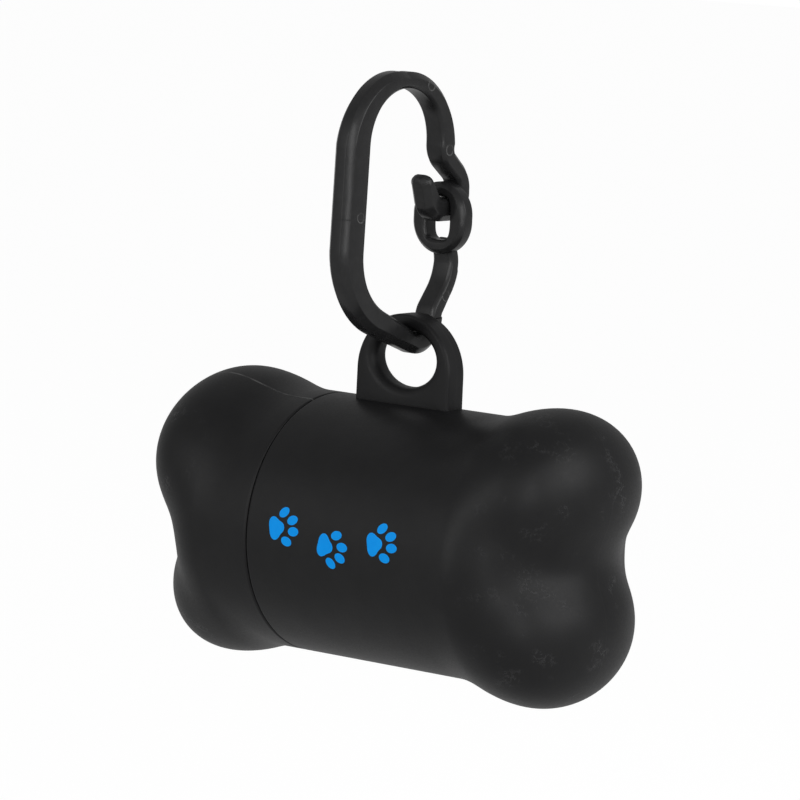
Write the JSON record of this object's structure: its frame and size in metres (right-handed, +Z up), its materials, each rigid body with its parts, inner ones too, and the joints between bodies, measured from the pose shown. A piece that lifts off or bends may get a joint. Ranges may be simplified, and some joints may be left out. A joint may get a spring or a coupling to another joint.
{
  "type": "waste bag dispenser",
  "caption": "Bone-shaped dispenser for a roll of dog waste bags, with a push-on end cap, a bag slot at the back and a hook-and-link snap clip through its eye.",
  "frame": {"origin": "centre of the snap clip's crown, where a leash ring bears", "axes": "+X along the bone from the cap to the closed end and along the crown's axis, -Y the printed front, +Z up the clip"},
  "size_m": [0.0798, 0.0475, 0.0927],
  "materials": {
    "case_plastic": "soft matte moulded polypropylene, black",
    "clip_plastic": "satin moulded acetal, black",
    "bag_film": "thin crinkled polyethylene film, blue",
    "core_paper": "spiral wound brown paper tube"
  },
  "bodies": {
    "clip": {"snap_clip": "clip_plastic"},
    "case": {"case_body": "case_plastic"},
    "cap": {"end_cap": "case_plastic"},
    "roll": {"bag_roll": "bag_film", "roll_core": "core_paper"},
    "bag": {"lead_bag": "bag_film"}
  },
  "joints": [
    {"name": "case_swing", "type": "hinge", "parent": "clip", "child": "case", "pos_m": [0, 0.0053, -0.03035], "axis": [0, 1, 0], "range_deg": [-90, 90]},
    {"name": "cap_pull", "type": "slide", "parent": "case", "child": "cap", "axis": [-1, 0, 0], "range_m": [0, 0.03]},
    {"name": "bag_pull", "type": "slide", "parent": "case", "child": "bag", "axis": [0, 0.6845, -0.7291], "range_m": [0, 0.01]},
    {"name": "roll_spin", "type": "hinge", "parent": "case", "child": "roll", "pos_m": [-0.001, 0.0053, -0.0621], "axis": [-1, 0, 0], "range_deg": [0, 38.7]}
  ],
  "couplings": [
    {"joint": "roll_spin", "follows": "bag_pull", "rad_per_m": 66.667}
  ]
}
